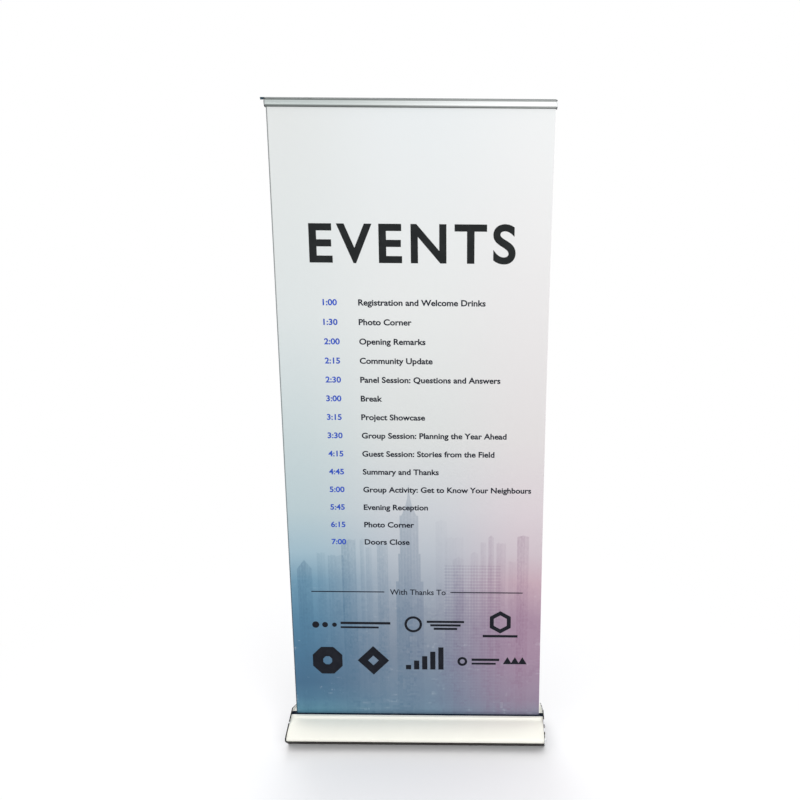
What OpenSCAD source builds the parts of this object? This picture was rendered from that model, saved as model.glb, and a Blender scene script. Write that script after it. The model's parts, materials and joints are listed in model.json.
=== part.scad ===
// Roll-up banner stand: a wide teardrop cassette that holds a sprung roller, a
// telescopic pole behind the film, and a clamp rail along the film's top edge.
// X runs along the cassette, the print faces -Y, +Z is up and z = 0 is the floor.

/* [Film] */
// Width of the printed film
film_w = 850; // [700:10:1200]
// Height of the film that shows between the slot and the rail
film_h = 2001; // [1950:1:2150]
// Thickness of the film
film_t = 0.4; // [0.2:0.1:0.6]

/* [Cassette] */
// Height of the slot above the floor
slot_z = 80; // [80:1:84]
// Wall of the two cover extrusions
cover_t = 2; // [1.5:0.1:2.5]
// Distance from the film to the front cover's lip
front_lip = 12; // [10:0.5:13]
// Distance from the film to the rear cover's lip
rear_lip = 7; // [6:0.5:9]
// Radius of the covers' long upper curve
belly_r = 110; // [106:1:112]
// Radius of the rounded nose
nose_r = 9; // [8.5:0.5:10]
// Thickness of the end plates
plate_t = 4; // [3:0.5:5]
// Thickness of the base pan
pan_t = 2; // [1.5:0.5:2.5]

/* [Roller] */
// Outer radius of the roller tube
roller_r = 19; // [18:0.5:19]
// Thickness of the film that stays wound on the tube
wound_t = 2; // [1:0.5:2]
// Turns of the torsion spring
spring_turns = 30; // [16:1:34]
// Diameter of the spring's wire
spring_wire = 1.8; // [1.2:0.2:2]

/* [Pole] */
// Distance from the film to the pole's axis
pole_y = 30; // [29:0.5:31]
// Outer radius of the lowest pole section
pole_r = 12.5; // [12:0.25:12.5]
// Wall of each pole section
pole_wall = 1.2; // [1:0.1:1.4]
// Length by which the sections overlap when the pole is up
pole_lap = 60; // [50:5:80]

/* [Rail] */
// Height of the clamp rail
rail_h = 25.5; // [25:0.5:27]
// How far the rail's front curve stands out from the film
rail_front = 8; // [7:0.5:9]
// How far the insert strip's end sticks out past the left cap
insert_tail = 12; // [0:1:14]

/* [Feet] */
// Radius of a levelling foot's pad
pad_r = 13; // [10:1:14]
// Distance of the feet from the film, to the front and to the rear
foot_y = 46; // [42:1:46]

/* [Hidden] */
$fn = 48;

run_gap = 0.05;     // radial clearance of a shaft that turns in its bush
slide_gap = 0.3;    // gap between pieces that slide past each other
inner_w = film_w + 24;
plate_x = inner_w / 2;

// cassette section, measured outwards from the film (u) and upwards (z)
belly_u = 33;
belly_top = slot_z - 6.4;
belly_end = 36;
cove_r = 14;
under_a = 135;
belly_c = [belly_u, belly_top - belly_r];
nose_c = belly_c + (belly_r - nose_r) * [sin(belly_end), cos(belly_end)];
cover_foot = 16;    // height at which a cover's tucked-under edge ends
pan_z = 3;
pan_floor = 2.5;
pan_top = 33;
deck_z = pan_z + pan_floor;
crown_z = slot_z + 4;
crown_r = 12;
plate_nose_r = nose_r + 4;
upper_port = [50, 66.6];
nose_port = nose_c + [3.6, 0];
pan_port = [61.5, 9];
port_r = 4.4;
tap_r = 2.1;

// roller
axis_y = -21.5;
axis_z = 44;
tube_half = film_w / 2 + 1;
tube_wall = 1.5;
tube_in = roller_r - tube_wall;
arbor_r = 6;
arbor_end = 130 - plate_x;
spring_r = 10.5;
plug_l = 18;
stub_r = 5;

// pole
pole_z = 12;
rail_z = slot_z + film_h;
pole_top = rail_z - 9;
section_l = (pole_top - pole_z + 2 * pole_lap) / 3;
section_step = section_l - pole_lap;
pole_r2 = pole_r - pole_wall - slide_gap;
pole_r3 = pole_r2 - pole_wall - slide_gap;
collar_skirt = 30;
collar_head = 25;

// rail section, with y from the film and z from the rail's lower edge
jaw_r = (pow(rail_h / 2, 2) + pow(rail_front, 2)) / (2 * rail_front);
jaw_c = [jaw_r - rail_front, rail_h / 2];
jaw_wall = 1.6;
hinge = [-1, rail_h - 3.2];
bead_r = 1.3;
rail_top = rail_h - 0.2;
wall_y = film_t / 2;
rail_half = film_w / 2 + 1;
cap_t = 3;
cap_holes = [[2.3, 6], [2.3, 14]];

// feet
foot_x = plate_x - 57;
stud_r = 4;
gap_pan = 0.2;

function arc(c, r, a0, a1, n) =
    [for (i = [0:n]) let (a = a0 + (a1 - a0) * i / n) c + r * [sin(a), cos(a)]];
function backwards(p) = [for (i = [len(p) - 1:-1:0]) p[i]];
function under_u(z, out) =
    (nose_c * [sin(under_a), cos(under_a)] + nose_r + out - cos(under_a) * z) / sin(under_a);
function cove(t) =
    let (r = cove_r + t, b = acos((belly_top + cove_r - slot_z + t) / r))
    [for (i = [0:6]) let (a = b * (1 - i / 6)) [belly_u, belly_top + cove_r] - r * [sin(a), cos(a)]];
function skin(lip, t) = concat(
    [[lip, slot_z - t]],
    cove(t),
    arc(belly_c, belly_r - t, 1, belly_end, 16),
    arc(nose_c, nose_r - t, belly_end + 9, under_a, 10),
    [[under_u(cover_foot, -t), cover_foot]]
);
function ring_points(r, n) = [for (i = [0:n - 1]) r * [cos(360 * i / n), sin(360 * i / n)]];

// lays a section drawn in (y, z) along X
module along_x(l) rotate([90, 0, 90]) linear_extrude(l, center = true) children();
module rod_x(x0, x1, r) translate([x0, 0, 0]) rotate([0, 90, 0]) cylinder(h = x1 - x0, r = r);
module tube_x(x0, x1, r, bore) difference() {
    rod_x(x0, x1, r);
    rod_x(x0 - 1, x1 + 1, bore);
}
module at_roller() translate([0, axis_y, axis_z]) children();
module at_pole(z) translate([0, pole_y, z]) children();
module tube_z(h, r, bore) difference() {
    cylinder(h = h, r = r);
    translate([0, 0, -1]) cylinder(h = h + 2, r = bore);
}

// the six screw places of one end plate, in (y, z)
plate_ports = [for (p = [upper_port, nose_port, pan_port], s = [-1, 1]) [s * p[0], p[1]]];

module plate_section() hull() {
    translate([0, crown_z]) circle(crown_r);
    for (s = [-1, 1]) {
        translate([s * nose_c[0], nose_c[1]]) circle(plate_nose_r);
        translate([s * 65, 5]) circle(3.5);
    }
}

module end_plate(side) difference() {
    translate([side * (plate_x + plate_t / 2), 0, 0]) along_x(plate_t) plate_section();
    for (p = plate_ports) translate([side * plate_x, p[0], p[1]]) rod_x(-9, 9, 2.6);
    at_roller() translate([side * plate_x, 0, 0]) rod_x(-9, 9, side < 0 ? arbor_r : 2.6);
}

module end_plate_left() color("lightgray") end_plate(-1);

module end_plate_right() color("lightgray") difference() {
    end_plate(1);
    at_roller() translate([plate_x, 0, 14]) rod_x(-9, 9, 2 + run_gap);
}

// one cover extrusion with its two screw ports, on the +Y side
module cover(lip) difference() {
    union() {
        along_x(inner_w) polygon(concat(skin(lip, 0), backwards(skin(lip, cover_t))));
        for (p = [upper_port, nose_port]) translate([0, p[0], p[1]]) rod_x(-plate_x, plate_x, port_r);
    }
    for (p = [upper_port, nose_port]) translate([0, p[0], p[1]]) rod_x(-plate_x - 1, plate_x + 1, tap_r);
}

module front_cover() color("whitesmoke") mirror([0, 1, 0]) cover(front_lip);

module rear_cover() color("whitesmoke") difference() {
    cover(rear_lip);
    at_pole(60) linear_extrude(40) square([44.8, 34.8], center = true);
}

module base_pan() color("#2b2725") difference() {
    union() {
        along_x(inner_w) polygon(concat(
            [for (z = [pan_z, pan_top]) [under_u(z, pan_t), z]],
            [for (z = [pan_top, deck_z]) [under_u(z, 0), z]],
            [for (z = [deck_z, pan_top]) [-under_u(z, 0), z]],
            [for (z = [pan_top, pan_z]) [-under_u(z, pan_t), z]]
        ));
        for (s = [-1, 1]) translate([0, s * pan_port[0], pan_port[1]]) rod_x(-plate_x, plate_x, 4);
    }
    for (s = [-1, 1]) translate([0, s * pan_port[0], pan_port[1]]) rod_x(-plate_x - 1, plate_x + 1, tap_r);
    for (sx = [-1, 1], sy = [-1, 1]) translate([sx * foot_x, sy * foot_y, 0]) cylinder(h = 9, r = 4.4);
    for (sx = [-1, 1]) at_pole(0) translate([sx * 21.5, 0, 0]) cylinder(h = 9, r = 2.2);
}

// dark trim between a cover's lip and the film
module slot_strip(lip) along_x(inner_w) {
    translate([1.5, slot_z - 3.5]) square([lip - 1.5, 3]);
    translate([lip, slot_z - 3.5]) square([4, 3.5 - cover_t]);
}

module slot_strip_front() color("#15171c") mirror([0, 1, 0]) slot_strip(front_lip);

module slot_strip_rear() color("#15171c") slot_strip(rear_lip);

module ballast_bar() translate([40, 18, deck_z]) cube([foot_x - 58, 37, 10]);

module ballast_bar_left() color("slategray") mirror([1, 0, 0]) ballast_bar();

module ballast_bar_right() color("slategray") ballast_bar();

// button-head screw along X: its head stands outside the plate on the given side
module end_screw(side) translate([side * (plate_x + plate_t), 0, 0]) rotate([0, side * 90, 0]) difference() {
    union() {
        cylinder(h = 2.4, r = 4.4);
        translate([0, 0, -18]) cylinder(h = 18.5, r = 2);
    }
    translate([0, 0, 1.1]) cylinder(h = 3, r = 1.5, $fn = 6);
}

module end_screws() color("silver") {
    for (side = [-1, 1], p = plate_ports) translate([0, p[0], p[1]]) end_screw(side);
    at_roller() end_screw(1);
}

module foot_inserts() color("goldenrod")
    for (sx = [-1, 1], sy = [-1, 1]) translate([sx * foot_x, sy * foot_y, deck_z])
        tube_z(9, 7, stud_r + run_gap);

module foot(sx, sy) translate([sx * foot_x, sy * foot_y, 0]) {
    cylinder(h = pan_z - gap_pan, r = pad_r);
    cylinder(h = 19, r = stud_r);
}

module foot_front_left() color("#222222") foot(-1, -1);

module foot_front_right() color("#222222") foot(1, -1);

module foot_rear_left() color("#222222") foot(-1, 1);

module foot_rear_right() color("#222222") foot(1, 1);

module roller_tube() color("silver") at_roller() tube_x(-tube_half, tube_half, roller_r, tube_in);

// flanged end plug of the roller, with its flange outwards on the given side
module roller_plug(side, bore) mirror([side < 0 ? 1 : 0, 0, 0]) {
    tube_x(tube_half - plug_l, tube_half, tube_in, bore);
    tube_x(tube_half, tube_half + 2.5, roller_r, bore);
}

module roller_plug_left() color("dimgray") at_roller() roller_plug(-1, arbor_r + 3);

module roller_plug_right() color("dimgray") at_roller() roller_plug(1, stub_r + 3);

module bush_left() color("ivory") at_roller()
    tube_x(-tube_half - 2.5, plug_l - tube_half, arbor_r + 3, arbor_r + run_gap);

module bush_right() color("ivory") at_roller()
    tube_x(tube_half - plug_l, tube_half + 2.5, stub_r + 3, stub_r + run_gap);

module wound_film() color("lightsteelblue") at_roller()
    tube_x(-film_w / 2, film_w / 2, roller_r + wound_t, roller_r);

module spring_arbor() color("gray") at_roller() {
    rod_x(-plate_x - plate_t, arbor_end, arbor_r);
    translate([-plate_x - plate_t - 2.4, 0, 0]) rotate([0, 90, 0]) cylinder(h = 3, r = 4.6, $fn = 6);
}

module arbor_bracket() color("dimgray") at_roller() tube_x(-plate_x, 6 - plate_x, 15, arbor_r);

module spring_anchor() color("dimgray") at_roller() tube_x(arbor_end - 20, arbor_end - 10, 15, arbor_r);

// helical torsion spring round the arbor, swept as one tube of pentagonal rings
module torsion_spring() color("darkslategray") at_roller() {
    x0 = plug_l - tube_half + 1;
    l = arbor_end - 20 - x0 - spring_wire - 0.3;
    steps = 12 * spring_turns;
    rings = ring_points(spring_wire / 2, 5);
    points = [for (i = [0:steps], q = rings)
        let (a = 30 * i, r = spring_r + q[0])
        [x0 + spring_wire / 2 + l * i / steps + q[1], r * cos(a), r * sin(a)]];
    sides = [for (i = [0:steps - 1], j = [0:4])
        let (k = 5 * i, n = (j + 1) % 5) [k + j, k + 5 + j, k + 5 + n, k + n]];
    ends = [[for (j = [0:4]) j], [for (j = [4:-1:0]) 5 * steps + j]];
    polyhedron(points, concat(sides, ends));
}

module stub_axle() color("gray") at_roller() difference() {
    union() {
        rod_x(tube_half - plug_l - 2, plate_x, stub_r);
        rod_x(plate_x - 3, plate_x, 11);
    }
    rod_x(plate_x - 16, plate_x + 1, tap_r);
}

module lock_pin() color("firebrick") at_roller() translate([0, 0, 14]) {
    rod_x(plate_x - 3, plate_x + plate_t, 2);
    rod_x(plate_x + plate_t, plate_x + plate_t + 2.4, 5);
}

module pole_socket() color("#202224") difference() {
    union() {
        at_pole(deck_z) cylinder(h = slot_z - deck_z, r = 16);
        at_pole(deck_z) cylinder(h = 4.5, r = 25);
        at_pole(66) linear_extrude(slot_z - 62) hull()
            for (sx = [-1, 1], sy = [-1, 1]) translate([sx * 17, sy * 12]) circle(5);
    }
    at_pole(pole_z) cylinder(h = 99, r = pole_r + 0.1);
    for (sx = [-1, 1]) at_pole(0) translate([sx * 21.5, 0, 0]) cylinder(h = 12, r = 2.2);
}

module socket_screws() color("silver") for (sx = [-1, 1]) at_pole(deck_z + 4.5) translate([sx * 21.5, 0, 0]) {
    cylinder(h = 2.4, r = 3.4);
    translate([0, 0, -6.5]) cylinder(h = 7, r = 2);
}

module pole_lower() color("silver") at_pole(pole_z) tube_z(section_l, pole_r, pole_r - pole_wall);

module pole_middle() color("silver") at_pole(pole_z + section_step)
    tube_z(section_l, pole_r2, pole_r2 - pole_wall);

module pole_upper() color("silver") at_pole(pole_z + 2 * section_step)
    tube_z(section_l, pole_r3, pole_r3 - pole_wall);

// ribbed twist-lock sleeve at the top of a section; z = 0 is the section's end
module twist_collar(outer, inner) difference() {
    union() {
        translate([0, 0, -collar_skirt]) cylinder(h = collar_skirt + collar_head - 6, r = outer + 3.2);
        translate([0, 0, collar_head - 6]) cylinder(h = 6, r = outer + 2);
        for (a = [0:30:330]) rotate(a) translate([outer + 3, 0, 6 - collar_skirt])
            cylinder(h = collar_skirt + 8, r = 1.3, $fn = 24);
    }
    translate([0, 0, -99]) cylinder(h = 99 + slide_gap, r = outer + run_gap);
    translate([0, 0, -1]) cylinder(h = 99, r = inner + slide_gap);
}

module collar_lower() color("#1c1d20") at_pole(pole_z + section_l) twist_collar(pole_r, pole_r2);

module collar_middle() color("#1c1d20") at_pole(pole_z + section_l + section_step)
    twist_collar(pole_r2, pole_r3);

// nylon plug in a section's lower end, running inside the section below
module guide_bush(r, bore) {
    translate([0, 0, -6]) cylinder(h = 6, r = r - run_gap);
    cylinder(h = 20, r = bore);
}

module guide_bush_middle() color("ivory") at_pole(pole_z + section_step)
    guide_bush(pole_r - pole_wall, pole_r2 - pole_wall);

module guide_bush_upper() color("ivory") at_pole(pole_z + 2 * section_step)
    guide_bush(pole_r2 - pole_wall, pole_r3 - pole_wall);

module pole_hook() color("#202224") {
    at_pole(pole_top - 26) cylinder(h = 26, r = pole_r3 - pole_wall);
    translate([0, 0, pole_top]) linear_extrude(7) hull() {
        translate([0, pole_y]) circle(pole_r3 + 1);
        translate([-11, 5]) square([22, 3.6]);
    }
    translate([-11, 5, pole_top]) cube([22, 3.6, 29.5]);
}

module at_rail(l) translate([0, 0, rail_z]) along_x(l) children();

module rail_back() color("silver") at_rail(2 * rail_half) difference() {
    union() {
        translate([wall_y, 0.5]) square([4.2, rail_top - 0.5]);
        translate([wall_y, 21.3]) square([9, rail_top - 21.3]);
        translate([9.2, 23.3]) circle(2);
        translate([9.2, 5]) square([2, 18.3]);
        translate(hinge) circle(2.9);
    }
    translate(hinge) circle(bead_r + slide_gap);
    translate(hinge) polygon([[0, 0], 5 * [cos(135), sin(135)], 6 * [-1, 0], 5 * [cos(228), sin(228)]]);
    translate([1.8, rail_h - 5.2]) square([1.4, 6]);
    for (p = cap_holes) translate(p) circle(1.1);
}

module rail_jaw() color("lightgray") at_rail(2 * rail_half - 2 * slide_gap) {
    difference() {
        translate(jaw_c) circle(jaw_r, $fn = 96);
        translate(jaw_c) circle(jaw_r - jaw_wall, $fn = 96);
        translate([-0.5 - film_t / 2 + slide_gap / 2, -5]) square([60, 60]);
        translate([-20, rail_h - 2.2]) square([60, 9]);
        translate(hinge) circle(3.2);
    }
    translate(hinge) circle(bead_r);
    translate(hinge) rotate(201.5) translate([0, -0.5]) square([4.2, 1]);
}

module rail_insert() color("#32505a") translate([-insert_tail / 2 - cap_t / 2, 0, 0])
    at_rail(2 * rail_half + cap_t + insert_tail) {
        translate([-0.5, rail_top]) square([4.8, 1.6]);
        translate([1.9, rail_h - 5]) square([1.2, 5]);
    }

module rail_cap(side) translate([side * (rail_half + cap_t / 2), 0, 0]) difference() {
    at_rail(cap_t) difference() {
        union() {
            intersection() {
                translate(jaw_c) circle(jaw_r + 0.2, $fn = 96);
                translate([-20, 0]) square([21, rail_top]);
            }
            translate([0, 0]) square([11.2, rail_top]);
        }
        translate([1.7, rail_h - 5.3]) square([1.6, 9]);
    }
    for (p = cap_holes) translate([0, p[0], rail_z + p[1]]) rod_x(-5, 5, 1.3);
}

module rail_cap_left() color("#3a3d40") rail_cap(-1);

module rail_cap_right() color("#3a3d40") rail_cap(1);

module rail_cap_screws() color("silver") for (side = [-1, 1], p = cap_holes)
    translate([side * (rail_half + cap_t), p[0], rail_z + p[1]]) rotate([0, side * 90, 0]) {
        cylinder(h = 1.2, r = 2.1);
        translate([0, 0, -11]) cylinder(h = 11.5, r = 1);
    }

module banner() color("aliceblue") translate([-film_w / 2, -film_t / 2, axis_z])
    cube([film_w, film_t, rail_z + rail_h - 6.5 - axis_z]);

end_plate_left();
end_plate_right();
front_cover();
rear_cover();
base_pan();
slot_strip_front();
slot_strip_rear();
ballast_bar_left();
ballast_bar_right();
end_screws();
foot_inserts();
foot_front_left();
foot_front_right();
foot_rear_left();
foot_rear_right();
roller_tube();
roller_plug_left();
roller_plug_right();
bush_left();
bush_right();
wound_film();
spring_arbor();
arbor_bracket();
spring_anchor();
torsion_spring();
stub_axle();
lock_pin();
pole_socket();
socket_screws();
pole_lower();
collar_lower();
pole_middle();
guide_bush_middle();
collar_middle();
pole_upper();
guide_bush_upper();
pole_hook();
rail_back();
rail_jaw();
rail_insert();
rail_cap_left();
rail_cap_right();
rail_cap_screws();
banner();
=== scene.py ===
import json
import math

import bmesh
import bpy
from mathutils import Matrix, Vector


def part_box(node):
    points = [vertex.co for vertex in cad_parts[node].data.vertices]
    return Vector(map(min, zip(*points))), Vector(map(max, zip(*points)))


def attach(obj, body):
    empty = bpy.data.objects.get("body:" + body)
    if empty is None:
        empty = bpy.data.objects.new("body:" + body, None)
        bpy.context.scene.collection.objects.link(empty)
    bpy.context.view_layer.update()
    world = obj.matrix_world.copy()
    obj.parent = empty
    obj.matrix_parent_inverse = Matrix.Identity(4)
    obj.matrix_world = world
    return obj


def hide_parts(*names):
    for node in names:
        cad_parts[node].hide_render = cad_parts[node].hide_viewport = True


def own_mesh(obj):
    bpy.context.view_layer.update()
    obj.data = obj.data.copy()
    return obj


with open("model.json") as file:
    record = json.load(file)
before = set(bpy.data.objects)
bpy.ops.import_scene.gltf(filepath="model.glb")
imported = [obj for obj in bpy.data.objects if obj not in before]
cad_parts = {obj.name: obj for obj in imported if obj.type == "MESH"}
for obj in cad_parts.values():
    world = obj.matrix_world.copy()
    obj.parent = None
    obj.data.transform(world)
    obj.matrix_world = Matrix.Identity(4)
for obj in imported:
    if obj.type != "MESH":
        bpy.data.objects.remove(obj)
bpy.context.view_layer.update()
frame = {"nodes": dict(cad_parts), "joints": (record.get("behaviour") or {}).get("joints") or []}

scene = bpy.context.scene
scene.view_settings.view_transform = "Standard"
mm = 0.001


def box(node):
    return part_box(node)


print("frame loaded")


class Wire:
    # an output socket whose arithmetic adds Math nodes
    def __init__(self, nodes, socket):
        self.nodes = nodes
        self.socket = socket

    def math(self, operation, *others):
        return self.nodes.node("ShaderNodeMath", {"operation": operation}, self, *others)

    def __add__(self, other):
        return self.math("ADD", other)

    def __sub__(self, other):
        return self.math("SUBTRACT", other)

    def __rsub__(self, other):
        return self.nodes.node("ShaderNodeMath", {"operation": "SUBTRACT"}, other, self)

    def __mul__(self, other):
        return self.math("MULTIPLY", other)

    def __truediv__(self, other):
        return self.math("DIVIDE", other)

    __radd__ = __add__
    __rmul__ = __mul__

    def rise(self, low, high):
        # 0 below low, 1 above high, smooth between
        return self.nodes.node("ShaderNodeMapRange", {"interpolation_type": "SMOOTHSTEP"},
                               self, low, high, 0.0, 1.0)

    def within(self, low, high, soft):
        return self.rise(low - soft, low) * (1 - self.rise(high, high + soft))

    def cell(self, size):
        return (self / size).math("FLOOR")

    def share(self, size):
        # how far along its own cell a place is, from 0 to 1
        return (self / size).math("FRACT")


class Nodes:
    # the one maker of nodes, for a material's tree or the world's
    def __init__(self, tree):
        self.tree = tree

    def feed(self, socket, value):
        if isinstance(value, Wire):
            self.tree.links.new(value.socket, socket)
        else:
            socket.default_value = value

    def node(self, kind, settings, *values):
        made = self.tree.nodes.new(kind)
        for name, value in settings.items():
            if name == "stops":
                self.setStops(made.color_ramp, value)
            elif name not in ("out", "sockets"):
                setattr(made, name, value)
        for socket, value in zip(made.inputs, values):
            self.feed(socket, value)
        for socket, value in settings.get("sockets", {}).items():
            self.feed(made.inputs[socket], value)
        return Wire(self, made.outputs[settings.get("out", 0)])

    def setStops(self, ramp, stops):
        while len(ramp.elements) < len(stops):
            ramp.elements.new(0.5)
        for element, (at, colour) in zip(ramp.elements, stops):
            element.position = at
            element.color = colour


class Finish(Nodes):
    def __init__(self, name, constants):
        self.material = bpy.data.materials.new(name)
        self.material.use_nodes = True
        super().__init__(self.material.node_tree)
        self.shader = self.tree.nodes["Principled BSDF"]
        for socket, value in constants.items():
            self.shader.inputs[socket].default_value = value

    def places(self):
        spot = self.node("ShaderNodeTexCoord", {"out": "Object"})
        return [self.node("ShaderNodeSeparateXYZ", {"out": i}, spot) for i in range(3)]

    def stretched(self, scale):
        spot = self.node("ShaderNodeTexCoord", {"out": "Object"})
        return self.node("ShaderNodeMapping", {"sockets": {"Scale": scale}}, spot)

    def noise(self, scale, size, detail=3.0, roughness=0.55):
        return self.node("ShaderNodeTexNoise", {"sockets": {
            "Vector": self.stretched(scale), "Scale": size, "Detail": detail, "Roughness": roughness}})

    def chance(self, x, y, salt):
        # a steady random number for each pair of whole numbers
        pair = self.node("ShaderNodeCombineXYZ", {}, x, y, salt)
        return self.node("ShaderNodeTexWhiteNoise", {"noise_dimensions": "3D", "out": "Value"}, pair)

    def mix(self, share, first, second, blend="MIX"):
        return self.node("ShaderNodeMix", {
            "data_type": "RGBA", "blend_type": blend, "out": 2,
            "sockets": {0: share, 6: first, 7: second}})

    def wear(self, socket, value):
        self.feed(self.shader.inputs[socket], value)

    def bump(self, height, depth, strength=1.0):
        self.wear("Normal", self.node("ShaderNodeBump", {"sockets": {
            "Strength": strength, "Distance": depth, "Height": height}}))


def colour(red, green, blue):
    # display values from 0 to 255, as linear light
    def linear(v):
        v = v / 255
        return v / 12.92 if v < 0.04045 else ((v + 0.055) / 1.055) ** 2.4
    return (linear(red), linear(green), linear(blue), 1.0)


def scaled(tint, factor, lift=0.0):
    return tuple(min(1.0, c * factor + lift) for c in tint[:3]) + (1.0,)


def satinMetal(name, tint, rough, grain, along=(1.0, 60.0, 60.0), shade=0.06, metal=0.55):
    made = Finish(name, {"Metallic": metal, "Roughness": rough})
    lines = made.noise(along, grain, 4.0, 0.6)
    clouds = made.noise((1.0, 1.0, 1.0), 14.0, 3.0)
    made.wear("Base Color", made.mix(clouds.rise(0.3, 0.75), tint, scaled(tint, 1 - shade)))
    made.wear("Roughness", rough + (lines - 0.5) * 0.12 + (clouds - 0.5) * 0.08)
    made.bump(lines, 0.00004, 0.35)
    return made.material


def moulded(name, tint, rough, grain=900.0, depth=0.00005, shine=0.45, patches=0.25):
    made = Finish(name, {"Specular IOR Level": shine})
    fine = made.noise((1.0, 1.0, 1.0), grain, 2.0)
    broad = made.noise((1.0, 1.0, 1.0), 30.0, 3.0)
    light = scaled(tint, 1 + patches, 0.016 * patches)
    made.wear("Base Color", made.mix(broad.rise(0.4, 0.8), tint, light))
    made.wear("Roughness", rough + (broad - 0.5) * 0.15)
    made.bump(fine, depth, 0.5)
    return made.material


def turnedSteel(name, tint, rough):
    made = Finish(name, {"Metallic": 1.0, "Roughness": rough})
    rings = made.noise((40.0, 40.0, 40.0), 22.0, 3.0)
    made.wear("Base Color", made.mix(rings, tint, scaled(tint, 0.8)))
    made.wear("Roughness", rough + (rings - 0.5) * 0.18)
    return made.material


def polishedPlate():
    made = Finish("polishedPlate", {"Metallic": 1.0})
    smears = made.noise((1.0, 6.0, 1.5), 22.0, 4.0)
    scuffs = made.noise((1.0, 40.0, 4.0), 60.0, 5.0)
    made.wear("Base Color", made.mix(smears, colour(214, 216, 218), colour(188, 190, 193)))
    made.wear("Roughness", 0.10 + smears * 0.10 + scuffs.rise(0.6, 0.8) * 0.12)
    made.bump(scuffs, 0.00003, 0.25)
    return made.material


def darkRim():
    # black edge trim with painted reflections: bright patches in its colour, more of them towards the
    # right-hand plate
    made = Finish("rimTrim", {"Metallic": 1.0})
    x = made.places()[0]
    paintedReflection = made.noise((1.0, 1.0, 1.0), 34.0, 2.0) + x.rise(-0.1, 0.1) * 0.11
    paintedReflection = paintedReflection.rise(0.60, 0.63)
    fine = made.noise((1.0, 1.0, 1.0), 260.0, 3.0)
    made.wear("Base Color", made.mix(paintedReflection, colour(36, 34, 33), colour(236, 237, 238)))
    made.wear("Roughness", 0.16 + fine * 0.16)
    made.bump(fine, 0.00002, 0.3)
    return made.material


def bandedRail(name, form):
    # a pale body with painted light, lighter to the right, between bands of painted shade along its top and
    # lower edges
    made = Finish(name, {"Metallic": form["metal"], "Roughness": form["rough"]})
    x, y, z = made.places()
    lines = made.noise((1.0, 60.0, 60.0), 14.0, 4.0, 0.6)
    up = z - box("rail_back")[0].z
    body = up.within(form["low"], form["high"], form["soft"])
    right = x.rise(-0.35, 0.42)
    shadeBand = made.mix(right, form["shadeBandLeft"], form["shadeBandRight"])
    made.wear("Base Color", made.mix(body, shadeBand, made.mix(right, form["left"], form["right"])))
    made.wear("Roughness", form["rough"] + (lines - 0.5) * 0.12)
    made.bump(lines, 0.00004, 0.35)
    return made.material


# body colours lighter to the right are painted light; the darker band colours are painted shade on the jaw
# and end caps
jawForm = {"metal": 0.2, "rough": 0.36, "low": 6 * mm, "high": 17.8 * mm, "soft": 0.5 * mm,
           "left": colour(190, 198, 196), "right": colour(252, 254, 253),
           "shadeBandLeft": colour(110, 116, 114), "shadeBandRight": colour(160, 163, 161)}
capForm = {"metal": 0.0, "rough": 0.4, "low": 5 * mm, "high": 19 * mm, "soft": 1.5 * mm,
           "left": colour(150, 152, 154), "right": colour(226, 228, 228),
           "shadeBandLeft": colour(22, 23, 25), "shadeBandRight": colour(70, 72, 74)}


def stripInsert():
    # grey along the rail, with a teal end where it sticks out past the cap
    made = Finish("insertStrip", {"Specular IOR Level": 0.4})
    x = made.places()[0]
    grain = made.noise((1.0, 40.0, 40.0), 20.0)
    cap = box("rail_cap_left")[0].x
    end = 1 - x.rise(cap - 0.4 * mm, cap + 0.6 * mm)
    made.wear("Base Color", made.mix(end, colour(112, 116, 118), colour(34, 66, 80)))
    made.wear("Roughness", 0.34 + grain * 0.16)
    made.bump(grain, 0.00003, 0.3)
    return made.material


finishes = {
    "cover": satinMetal("coverAnodised", colour(250, 249, 238), 0.46, 12.0, shade=0.015, metal=0.04),
    "rim": darkRim(),
    "rail": satinMetal("railAnodised", colour(222, 227, 225), 0.34, 14.0),
    "jaw": bandedRail("jawAnodised", jawForm),
    "tube": satinMetal("tubeAnodised", colour(208, 211, 213), 0.27, 10.0, (60.0, 60.0, 1.0), metal=0.92),
    "roller": satinMetal("rollerMill", colour(196, 198, 200), 0.45, 10.0),
    "plate": polishedPlate(),
    # the pan is a real tray under the covers; its dark brown also stands in as painted shade and floor
    # reflection under the cover's nose
    "pan": moulded("panShadeBrown", colour(26, 18, 12), 0.55, shine=0.25),
    "trim": moulded("slotTrim", colour(12, 26, 46), 0.7, shine=0.2),
    "plastic": moulded("blackNylon", colour(38, 38, 41), 0.46),
    "cap": bandedRail("capGraphite", capForm),
    "insert": stripInsert(),
    "nylon": moulded("bushIvory", colour(226, 220, 204), 0.5),
    "red": moulded("pinRed", colour(150, 34, 28), 0.4),
    "rubber": moulded("footRubber", colour(34, 34, 34), 0.8, 500.0, 0.0001),
    "ballast": moulded("ballastPaint", colour(84, 88, 92), 0.6, 200.0, 0.0002),
    "screw": turnedSteel("screwZinc", colour(206, 207, 210), 0.22),
    "steel": turnedSteel("shaftSteel", colour(176, 178, 181), 0.3),
    "spring": turnedSteel("springSteel", colour(92, 92, 96), 0.35),
    "brass": turnedSteel("insertBrass", colour(212, 176, 104), 0.3),
}
print("finishes made")


def arc(centre, radius, start, end, count):
    # angles are in degrees from straight up towards the outside
    turns = [math.radians(start + (end - start) * i / count) for i in range(count + 1)]
    return [(centre[0] + radius * math.sin(a), centre[1] + radius * math.cos(a)) for a in turns]


def outward(bm):
    bmesh.ops.recalc_face_normals(bm, faces=bm.faces)
    return bm


def vertsOf(geom):
    return [v for v in geom if isinstance(v, bmesh.types.BMVert)]


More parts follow.
